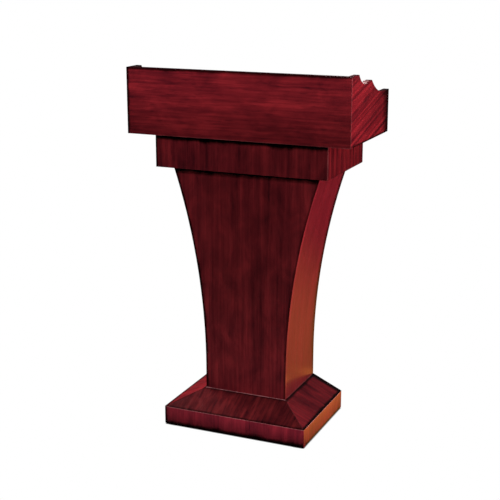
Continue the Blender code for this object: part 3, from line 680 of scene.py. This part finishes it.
def dress_neck():
    """The neck box: its front, sides and bottom."""
    front = "neck_front_board"
    front_y, back_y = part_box(front)[0].y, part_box("neck_right_side")[1].y
    # The sides are painted a little lighter towards the front, as the light fell
    side_look = dict(ribbon=80.0, contrast=1.5, painted_light=(("y", front_y, back_y, 1.12, 0.98),))
    veneer(front, Look(DARK_FRONT, "z", 15, ribbon=34.0, contrast=0.7, painted_light=NECK_FRONT_PAINTED_LIGHT),
           ends=Look(NECK_SIDE, "z", 19, **side_look), dark={"left": LINE, "top": OVERHANG_PAINTED_SHADOW},
           wear_and_highlights=((side_plane(front, "front"), side_plane(front, "right"), NECK_WEAR_AND_HIGHLIGHT),))
    for side, seed in (("left", 17), ("right", 19)):
        veneer(f"neck_{side}_side", Look(NECK_SIDE, "z", seed, **side_look),
               dark={"back": THIN_LINE, "bottom": FAINT_LINE})
    veneer("neck_bottom_board", Look(INNER, "x", 21))


def dress_column():
    """The column: the front panel, the two bent sides, and the rear frame with its door."""
    side_look = dict(ribbon=30.0, contrast=0.35, streaks=0.25, mottle=0.25, painted_light=COLUMN_SIDE_PAINTED_LIGHT)
    left_look = {**side_look, "contrast": 0.7, "streaks": 0.8, "mottle": 0.6}
    foot = side_plane("skirt_front", "top")
    veneer("column_front_panel", Look(DARK_FRONT, "z", 23, ribbon=48.0, contrast=0.7, streaks=0.8,
                                      painted_light=COLUMN_FRONT_PAINTED_LIGHT),
           ends=Look(COLUMN_END, "z", 27, **side_look),
           dark={"flare_left": LINE, "flare_right": FLARE_LINE, "top": OVERHANG_PAINTED_SHADOW})
    for side, seed, look in (("left", 25, left_look), ("right", 27, side_look)):
        veneer(f"column_{side}_side", Look(COLUMN_SIDE, "z", seed, **look), dark={"back": COLUMN_REAR_LINE},
               wear_and_highlights=((upright_side(side), foot, COLUMN_WEAR_AND_HIGHLIGHT),))
    rear_flare = {"flare_left": LINE, "flare_right": LINE}
    veneer("rear_left_stile", Look(DARK_FRONT, "z", 29), dark=rear_flare)
    veneer("rear_right_stile", Look(DARK_FRONT, "z", 31), dark=rear_flare)
    veneer("rear_top_rail", Look(DARK_FRONT, "x", 33))
    veneer("rear_bottom_rail", Look(DARK_FRONT, "x", 35))
    rim = dict.fromkeys(("left", "right", "top", "bottom"), RIM_LINE)
    veneer("column_door", Look(INNER, "z", 37, ribbon=34.0, contrast=0.9), dark=rim)
    veneer("drawer_front", Look(INNER, "x", 39, ribbon=34.0, contrast=0.9), dark=rim)


def upright_side(side):
    """The plane of the column's upright part on one side, where the skirt meets it."""
    return side_plane(f"skirt_{side}", "right" if side == "left" else "left")


def dress_base():
    """The base: three skirt slopes on a plinth of four boards."""
    slope_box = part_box("skirt_right")
    corner_low = slope_box[1].x, slope_box[0].y
    corner_high = slope_box[0].x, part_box("skirt_front")[1].y
    hip = upright_plane(corner_low, corner_high)
    slope = math.atan2(slope_box[1].z - slope_box[0].z, slope_box[1].x - slope_box[0].x)
    top_arris = (side_plane("skirt_front", "back"), side_plane("skirt_front", "top"), SKIRT_TOP_WEAR_AND_HIGHLIGHT)
    # The front slope's tone holds painted shade, and the side slopes' tones painted light
    veneer("skirt_front", Look(SKIRT_FRONT_PAINTED_SHADE, "y", 41, tilt=(-slope, 0.0), ribbon=85.0, run=5.0, streaks=1.2,
                               mottle=1.6),
           dark={"bottom": THIN_LINE, "top": THIN_LINE}, wear_and_highlights=(top_arris, (hip, hip, HIP_WEAR_AND_HIGHLIGHT)))
    for side, tone, seed, turn in (("left", SKIRT_LEFT_PAINTED_LIGHT, 43, slope), ("right", SKIRT_RIGHT_PAINTED_LIGHT, 45, -slope)):
        inner_side = "right" if side == "left" else "left"
        veneer(f"skirt_{side}", Look(tone, "x", seed, tilt=(0.0, turn), ribbon=80.0, run=3.0, contrast=0.7,
                                     streaks=0.9),
               dark={"back": SKIRT_REAR_LINE, "bottom": SKIRT_FOOT_LINE, inner_side: LINE})
    side_look = dict(ribbon=60.0, contrast=0.6)
    front = "plinth_front"
    veneer(front, Look(PLINTH_FRONT, "z", 47, ribbon=70.0, contrast=0.5, streaks=0.7,
                       painted_light=PLINTH_FRONT_PAINTED_LIGHT),
           ends=Look(PLINTH_SIDE, "z", 51, **side_look), dark={"left": LINE, "bottom": PLINTH_FOOT_PAINTED_SHADOW},
           wear_and_highlights=((side_plane(front, "front"), side_plane(front, "top"), PLINTH_FRONT_WEAR_AND_HIGHLIGHT),))
    for side, seed in (("left", 49), ("right", 51)):
        node = f"plinth_{side}"
        veneer(node, Look(PLINTH_SIDE, "z", seed, **side_look), dark={"bottom": LINE},
               wear_and_highlights=((side_plane(node, side), side_plane(node, "top"), PLINTH_SIDE_WEAR_AND_HIGHLIGHT),))
    veneer("plinth_back", Look(DARK_FRONT, "x", 53, ribbon=40.0),
           ends=Look(PLINTH_SIDE, "z", 51, **side_look), dark={"bottom": LINE})


def dress_hidden_wood():
    """The sawn battens and cleats, and the plywood parts."""
    pine = softwood()
    for node in ("reading_cleat_front", "reading_cleat_left", "reading_cleat_right", "top_batten_left",
                 "top_batten_right", "foot_batten_left", "foot_batten_right", "shelf_cleat_left",
                 "shelf_cleat_right"):
        wear(node, pine)
    for node in ("drawer_back", "drawer_bottom", "drawer_left_side", "drawer_right_side", "column_shelf",
                 "base_board"):
        plywood(node)


def dress_fittings():
    """The brass hinges, the steel rails and strike, and the plastic catch and glides.

    It returns the brass and the steel, for the screws.
    """
    hinge_brass = brass("hinge_brass", HINGE_BRUSHING)
    zinc = steel()
    black = plastic()
    for height in ("upper", "lower"):
        for part in ("frame_leaf", "door_leaf", "pin"):
            wear(f"{height}_hinge_{part}", hinge_brass)
    for side in ("left", "right"):
        wear(f"case_rail_{side}", zinc)
        wear(f"drawer_rail_{side}", zinc)
        wear(f"glide_front_{side}", black)
        wear(f"glide_rear_{side}", black)
    wear("catch_strike", zinc)
    wear("catch_body", black)
    return hinge_brass, zinc


# ---------------------------------------------------------------- smooth shading

def smoothing_group():
    """Geometry nodes that weld split corners and shade smooth across edges blunter than SMOOTH_ANGLE."""
    group = bpy.data.node_groups.new("smooth_by_angle", "GeometryNodeTree")
    group.interface.new_socket("Geometry", in_out="INPUT", socket_type="NodeSocketGeometry")
    group.interface.new_socket("Geometry", in_out="OUTPUT", socket_type="NodeSocketGeometry")
    start = group.nodes.new("NodeGroupInput")
    end = group.nodes.new("NodeGroupOutput")
    plain = group.nodes.new("GeometryNodeRemoveAttribute")
    plain.inputs["Name"].default_value = "custom_normal"
    weld = group.nodes.new("GeometryNodeMergeByDistance")
    weld.inputs["Distance"].default_value = WELD_DISTANCE
    faces = group.nodes.new("GeometryNodeSetShadeSmooth")
    faces.domain = "FACE"
    edges = group.nodes.new("GeometryNodeSetShadeSmooth")
    edges.domain = "EDGE"
    edges.inputs["Shade Smooth"].default_value = False
    angle = group.nodes.new("GeometryNodeInputMeshEdgeAngle")
    sharp = group.nodes.new("FunctionNodeCompare")
    sharp.inputs[1].default_value = SMOOTH_ANGLE
    group.links.new(angle.outputs[0], sharp.inputs[0])
    group.links.new(sharp.outputs[0], edges.inputs["Selection"])
    chain = (start, plain, weld, faces, edges, end)
    for first, second in zip(chain, chain[1:]):
        group.links.new(first.outputs[0], second.inputs[0])
    return group


def smooth(pieces):
    """Welds and smooths each piece, then leans its normals towards the large flat faces."""
    group = smoothing_group()
    for piece in pieces:
        weld = piece.modifiers.new("smooth_by_angle", "NODES")
        weld.node_group = group
        lean = piece.modifiers.new("flat_face_normals", "WEIGHTED_NORMAL")
        lean.mode = "FACE_AREA"
        lean.weight = 100
        lean.keep_sharp = True


# ---------------------------------------------------------------- small fittings

def turned_mesh(name, profile, steps):
    """A closed turned solid round Z from (radius, z) points, the first and the last on the axis."""
    shape = bmesh.new()
    rings = []
    for radius, z in profile:
        turns = 1 if radius == 0 else steps
        angles = (2 * math.pi * step / steps for step in range(turns))
        rings.append([shape.verts.new((radius * math.cos(a), radius * math.sin(a), z)) for a in angles])
    for lower, upper in zip(rings, rings[1:]):
        for step in range(steps):
            after = (step + 1) % steps
            corners = [lower[step % len(lower)], lower[after % len(lower)],
                       upper[after % len(upper)], upper[step % len(upper)]]
            shape.faces.new(list(dict.fromkeys(corners)))
    bmesh.ops.recalc_face_normals(shape, faces=shape.faces[:])
    mesh = bpy.data.meshes.new(name)
    shape.to_mesh(mesh)
    shape.free()
    mesh.shade_smooth()
    mesh.set_sharp_from_angle(angle=TURNED_SMOOTH_ANGLE)
    return mesh


def add_piece(name, mesh, place, body, material):
    """A new piece at a place in the model's frame, riding on a body."""
    piece = bpy.data.objects.new(name, mesh)
    bpy.context.scene.collection.objects.link(piece)
    piece.matrix_world = place
    if not mesh.materials:
        mesh.materials.append(material)
    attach(piece, body)
    return piece


def screw_head(name, radius, height, recess):
    """A domed screw head with a cross recess, its seat at z = 0 and its dome towards +Z."""
    steps = 8
    arc = [math.pi / 2 * step / steps for step in range(steps + 1)]
    rim = height * RIM_SHARE
    dome = [(radius * math.cos(a), rim + (height - rim) * math.sin(a)) for a in arc[:-1]]
    profile = [(0, 0), (radius * SEAT_SHARE, 0), *dome, (0, height)]
    mesh = turned_mesh(name, profile, steps=32)
    blank = bpy.data.objects.new(f"{name}_blank", mesh)
    tool_shape = bmesh.new()
    for turn in (0.0, math.pi / 2):
        bar = bmesh.ops.create_cube(tool_shape, size=1.0)["verts"]
        bmesh.ops.scale(tool_shape, vec=(recess, recess * SLOT_SHARE, height), verts=bar)
        bmesh.ops.rotate(tool_shape, matrix=Matrix.Rotation(turn, 3, "Z"), verts=bar)
    tool_mesh = bpy.data.meshes.new(f"{name}_recess")
    tool_shape.to_mesh(tool_mesh)
    tool_shape.free()
    tool = bpy.data.objects.new(f"{name}_recess", tool_mesh)
    tool.location.z = height
    for thing in (blank, tool):
        bpy.context.scene.collection.objects.link(thing)
    cut = blank.modifiers.new("recess", "BOOLEAN")
    cut.object = tool
    cut.use_self = True
    bpy.context.view_layer.update()
    depsgraph = bpy.context.evaluated_depsgraph_get()
    cut_mesh = bpy.data.meshes.new_from_object(blank.evaluated_get(depsgraph))
    cut_mesh.name = f"{name}_cut"
    cut_mesh.shade_smooth()
    cut_mesh.set_sharp_from_angle(angle=TURNED_SMOOTH_ANGLE)
    for thing in (blank, tool):
        bpy.data.objects.remove(thing)
    return cut_mesh


FACING = {
    "+x": Matrix.Rotation(math.pi / 2, 4, "Y"),
    "-x": Matrix.Rotation(-math.pi / 2, 4, "Y"),
    "+y": Matrix.Rotation(-math.pi / 2, 4, "X"),
    "-y": Matrix.Rotation(math.pi / 2, 4, "X"),
    "-z": Matrix.Rotation(math.pi, 4, "X"),
}


def drive(name, mesh, point, facing, body, material, turn):
    """Sets a screw at a point of a surface that faces the given way, its recess turned as it came to rest."""
    place = Matrix.Translation(point) @ FACING[facing] @ Matrix.Rotation(turn, 4, "Z")
    return add_piece(name, mesh, place, body, material)


def add_hinge_screws(material):
    """Three raised countersunk screws in each hinge leaf."""
    mesh = screw_head("hinge_screw", *HINGE_SCREW)
    axis_x = sum(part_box("upper_hinge_pin")[end].x for end in (0, 1)) / 2
    for height in ("upper", "lower"):
        for part, body, side in (("frame_leaf", "carcass", 1), ("door_leaf", "door", -1)):
            low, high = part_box(f"{height}_hinge_{part}")
            outer_x = high.x if side > 0 else low.x
            middle_x = (axis_x + side * KNUCKLE_REACH + outer_x) / 2
            middle_z = (low.z + high.z) / 2
            for number in range(3):
                z = middle_z + (number - 1) * HINGE_SCREW_SPREAD
                stagger = HINGE_SCREW_STAGGER * side * (1 if number % 2 == 0 else -1)
                point = (middle_x + stagger, low.y + HINGE_SHEET - LET_IN, z)
                drive(f"{height}_hinge_{part}_screw_{number + 1}", mesh, point, "+y", body, material,
                      turn=0.7 * number + side)


def add_rail_screws(material):
    """Three pan-head screws in the web of each drawer rail."""
    mesh = screw_head("rail_screw", *PAN_SCREW)
    for side, sign in (("left", -1), ("right", 1)):
        rails = ((f"case_rail_{side}", "carcass", -sign), (f"drawer_rail_{side}", "drawer", sign))
        for rail, body, outward in rails:
            low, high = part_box(rail)
            web_x = (high.x if outward < 0 else low.x) + outward * (RAIL_SHEET - LET_IN)
            facing = "+x" if outward > 0 else "-x"
            for number, share in enumerate(RAIL_SCREW_PLACES):
                point = (web_x, low.y + share * (high.y - low.y), (low.z + high.z) / 2)
                drive(f"{rail}_screw_{number + 1}", mesh, point, facing, body, material,
                      turn=0.9 * number)


def add_knob_screws(material):
    """The machine screw and washer that hold each knob from inside."""
    washer = turned_mesh("knob_washer", WASHER_PROFILE, steps=40)
    head = screw_head("knob_screw", *KNOB_SCREW)
    knobs = (("drawer_knob", "drawer_front", "drawer"), ("door_knob", "column_door", "door"))
    for knob, board, body in knobs:
        low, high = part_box(knob)
        centre_x, centre_z = (low.x + high.x) / 2, (low.z + high.z) / 2
        seat = (centre_x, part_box(board)[0].y, centre_z)
        washer_face = (centre_x, seat[1] - WASHER_FACE_Z + LET_IN, centre_z)
        drive(f"{knob}_washer", washer, seat, "-y", body, material, turn=0.0)
        drive(f"{knob}_screw", head, washer_face, "-y", body, material, turn=0.4)


def add_catch_details(material):
    """The magnetic catch's pole plates, its two screws, and the screw in the strike."""
    low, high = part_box("catch_body")
    shape = bmesh.new()
    middle = (low + high) / 2
    for offset in (-POLE_PLATE_OFFSET, POLE_PLATE_OFFSET):
        plate = bmesh.ops.create_cube(shape, size=1.0)["verts"]
        bmesh.ops.scale(shape, vec=POLE_PLATE_SIZE, verts=plate)
        bmesh.ops.translate(shape, vec=(middle.x, high.y - POLE_PLATE_INSET, middle.z + offset), verts=plate)
    bmesh.ops.bevel(shape, geom=shape.edges[:], offset=POLE_PLATE_ARRIS, segments=2, affect="EDGES")
    mesh = bpy.data.meshes.new("catch_pole_plates")
    shape.to_mesh(mesh)
    shape.free()
    add_piece("catch_pole_plates", mesh, Matrix.Identity(4), "carcass", material)
    head = screw_head("catch_screw", *PAN_SCREW)
    for number, offset in enumerate((-CATCH_SCREW_OFFSET, CATCH_SCREW_OFFSET)):
        point = (middle.x + offset, middle.y, low.z + LET_IN)
        drive(f"catch_screw_{number + 1}", head, point, "-z", "carcass", material, turn=0.5 + number)
    strike_low, strike_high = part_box("catch_strike")
    point = ((strike_low.x + strike_high.x) / 2, strike_low.y + LET_IN, (strike_low.z + strike_high.z) / 2)
    flat = screw_head("strike_screw", *STRIKE_SCREW)
    drive("strike_screw", flat, point, "-y", "door", material, turn=0.2)


def add_knobs():
    """Finely turned brass knobs in place of the plain CAD ones: domed face, ring groove, waist and foot."""
    spun = brass("knob_brass", KNOB_BRUSHING)
    for node, body in (("drawer_knob", "drawer"), ("door_knob", "door")):
        low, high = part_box(node)
        radius, length = (high.x - low.x) / 2, high.y - low.y
        name = f"{node}_turned"
        mesh = turned_mesh(name, knob_profile(radius, length), steps=96)
        place = Matrix.Translation(((low.x + high.x) / 2, low.y, (low.z + high.z) / 2)) @ FACING["+y"]
        piece = add_piece(name, mesh, place, body, spun)
        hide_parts(node)


def knob_profile(radius, length):
    """(radius, z) points from the foot's centre to the top of the dome."""
    dome = radius * KNOB_DOME_SHARE
    dome_z = length - dome
    foot, waist = radius * KNOB_FOOT_SHARE, radius * KNOB_WAIST_SHARE
    outline = [(0, 0), *((foot + past, z) for past, z in KNOB_FOOT_RIM)]
    cove_radius, cove_z = outline[-1]
    cove_steps = 8
    for step in range(1, cove_steps + 1):
        angle = math.pi / 2 * step / cove_steps
        inward = (cove_radius - waist) * (1 - math.sin(angle))
        outline.append((waist + inward, cove_z + KNOB_COVE_HEIGHT * (1 - math.cos(angle))))
    start = math.pi - math.asin((waist + KNOB_OVERHANG) / radius)
    dome_steps = 30
    for step in range(dome_steps):
        angle = start * (1 - step / dome_steps)
        depth = GROOVE_DEPTH * math.exp(-((angle - GROOVE_ANGLE) / GROOVE_WIDTH) ** 2)
        outline.append(((radius - depth) * math.sin(angle), dome_z + (dome - depth) * math.cos(angle)))
    outline.append((0, length))
    return outline


# ---------------------------------------------------------------- studio

def warm_glow(shader, point, x, y):
    """The warm pool of light with its bright heart, and a strip of it along the pulpit's right side."""
    away = shader.vector_math("DISTANCE", point, POOL_CENTRE).outputs["Value"]
    pool = shader.remap(away, *POOL_SPAN, POOL_GLOW, 0.0)
    heart = shader.remap(away, *HEART_SPAN, HEART_GLOW, 0.0)
    strip = shader.plus(shader.remap(x, *STRIP_RISE_X, 0.0, STRIP_RISE_GLOW), shader.remap(x, *STRIP_PEAK_X))
    strip = shader.times(strip, shader.remap(x, *STRIP_FALL_X, 1.0, 0.0))
    strip = shader.times(strip, shader.remap(y, *STRIP_FALL_Y, 1.0, 0.0))
    glow = shader.plus(shader.plus(pool, heart), strip)
    glow = shader.times(glow, shader.remap(x, *WARM_FLOOR_X))
    return shader.times(glow, shader.remap(y, *WARM_FLOOR_Y))


def rear_floor_glow_share(shader, x, y):
    """How much of the floor's painted pale glow is mirrored, which is only the part behind the pulpit."""
    share = shader.times(shader.remap(x, *REAR_FLOOR_RISE_X), shader.remap(x, *REAR_FLOOR_FALL_X, 1.0, 0.0))
    return shader.times(share, shader.remap(y, *REAR_FLOOR_RISE_Y))


def add_floor():
    """A plain pale floor, with a painted contact shadow where the pulpit all but touches it.

    It glows only to reflections: the lacquer and the metal mirror it as a painted warm pool of light at the
    pulpit's right, and a plain pale glow behind it.
    """
    shader = Shader("pale_floor")
    path = shader.node("LightPath").outputs
    point = shader.position()
    x, y, _ = shader.coordinates(point)
    warm = shader.scaled(POOL_COLOUR, warm_glow(shader, point, x, y))
    pale = shader.scaled(REAR_FLOOR_GLOW, rear_floor_glow_share(shader, x, y))
    shine = shader.vector_math("ADD", warm, pale).outputs[0]
    mirrored = shader.node("Emission", {"Color": shine, "Strength": 1.0}).outputs[0]
    dull = shader.node("BsdfDiffuse", {"Color": (*FLOOR_BOUNCE, 1.0)}).outputs[0]
    # Painted contact shadow: the floor that the camera sees is darkened where the pulpit is close
    openness = shader.node("AmbientOcclusion", {"Distance": CONTACT_SHADOW_REACH}, samples=16).outputs["AO"]
    painted_contact_shadow = shader.remap(openness, *CONTACT_SHADOW_OPENNESS)
    seen = shader.node("Emission", {"Color": painted_contact_shadow, "Strength": 1.0}).outputs[0]
    unseen = shader.node("MixShader", {0: path["Is Glossy Ray"], 1: dull, 2: mirrored}).outputs[0]
    both = shader.node("MixShader", {0: path["Is Camera Ray"], 1: unseen, 2: seen}).outputs[0]
    shader.node("OutputMaterial", {"Surface": both})
    bpy.ops.mesh.primitive_circle_add(vertices=96, radius=FLOOR_RADIUS, fill_type="NGON")
    floor = bpy.context.object
    floor.name = "floor"
    floor.data.materials.append(shader.material)


def add_sky():
    """White to the camera, and a dim even sky to the object, dimmer still in its reflections."""
    world = bpy.data.worlds.new("studio")
    bpy.context.scene.world = world
    world.use_nodes = True
    nodes, links = world.node_tree.nodes, world.node_tree.links
    nodes.clear()
    path = nodes.new("ShaderNodeLightPath")
    output = nodes.new("ShaderNodeOutputWorld")
    layers = []
    for colour in (WHITE, SKY_AMBIENT, SKY_REFLECTED):
        background = nodes.new("ShaderNodeBackground")
        background.inputs["Color"].default_value = (*colour, 1.0)
        layers.append(background.outputs[0])
    white, ambient, reflected = layers
    inner, outer = nodes.new("ShaderNodeMixShader"), nodes.new("ShaderNodeMixShader")
    links.new(path.outputs["Is Glossy Ray"], inner.inputs[0])
    links.new(ambient, inner.inputs[1])
    links.new(reflected, inner.inputs[2])
    links.new(path.outputs["Is Camera Ray"], outer.inputs[0])
    links.new(inner.outputs[0], outer.inputs[1])
    links.new(white, outer.inputs[2])
    links.new(outer.outputs[0], output.inputs[0])


def direction(azimuth, elevation):
    """The way from the object towards a place round it. Azimuth 0 is the audience's side, 90 is +X."""
    return Vector((math.sin(azimuth) * math.cos(elevation), -math.cos(azimuth) * math.cos(elevation),
                   math.sin(elevation)))


def softbox(name, azimuth, elevation, distance, size, power, mirrored=False, lights=True, colour=WHITE):
    """A rectangular soft light that looks at the pulpit, placed by angles in degrees.

    It shows in the lacquer and the metal only if it is mirrored, and casts light only if lights is set.
    """
    lamp = bpy.data.lights.new(name, "AREA")
    lamp.shape = "RECTANGLE"
    lamp.size, lamp.size_y = size
    lamp.energy = power
    lamp.color = colour
    holder = bpy.data.objects.new(name, lamp)
    holder.visible_glossy = mirrored
    holder.visible_diffuse = lights
    bpy.context.scene.collection.objects.link(holder)
    towards = direction(math.radians(azimuth), math.radians(elevation))
    holder.location = Vector((0, 0, (cad_bounds[0].z + cad_bounds[1].z) / 2)) + towards * distance
    holder.rotation_mode = "QUATERNION"
    holder.rotation_quaternion = towards.to_track_quat("Z", "Y")


def add_lights():
    """A low key from the right, a small front light, and fills for the left and the back.

    The sheens and the glint cast no light: they are only seen in the lacquer and the metal.
    Each line has the azimuth, elevation, distance, size and power.
    """
    softbox("key_right", 78, 7, 3.6, (0.6, 0.40), 135)
    softbox("front", -6, 31, 3.6, (1.0, 0.22), 46)
    softbox("left", -98, 50, 3.6, (1.2, 0.9), 180)
    softbox("back_right", 128, 22, 3.8, (1.2, 1.2), 52)
    softbox("back_left", 246, 17, 3.8, (1.4, 1.2), 40)
    softbox("sheen_right", 128, 22, 3.8, (1.2, 1.2), 34, mirrored=True, lights=False)
    softbox("sheen_left", 246, 17, 3.8, (1.4, 1.2), 40, mirrored=True, lights=False)
    softbox("back", 190, 20, 3.8, (1.4, 1.2), 42)
    softbox("glint", 195, 33.6, 3.54, (0.35, 0.70), 3.0, mirrored=True, lights=False, colour=GLINT_COLOUR)


def add_camera():
    """The camera, which looks from its azimuth and elevation at its target."""
    data = bpy.data.cameras.new("camera")
    data.lens = CAMERA_LENS_MM
    data.sensor_width = SENSOR_MM
    data.clip_start, data.clip_end = 0.1, 200.0
    camera = bpy.data.objects.new("camera", data)
    bpy.context.scene.collection.objects.link(camera)
    back = direction(CAMERA_AZIMUTH, CAMERA_ELEVATION)
    camera.location = CAMERA_TARGET + back * CAMERA_DISTANCE
    camera.rotation_mode = "QUATERNION"
    camera.rotation_quaternion = back.to_track_quat("Z", "Y")
    bpy.context.scene.camera = camera


# ---------------------------------------------------------------- the scene

add_camera()
dress_desk()
dress_neck()
dress_column()
dress_base()
dress_hidden_wood()
hinge_brass, zinc_steel = dress_fittings()
smooth(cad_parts.values())
add_knobs()
add_hinge_screws(hinge_brass)
add_rail_screws(zinc_steel)
add_knob_screws(zinc_steel)
add_catch_details(zinc_steel)
add_floor()
add_sky()
add_lights()
bpy.context.scene.view_settings.view_transform = "Standard"
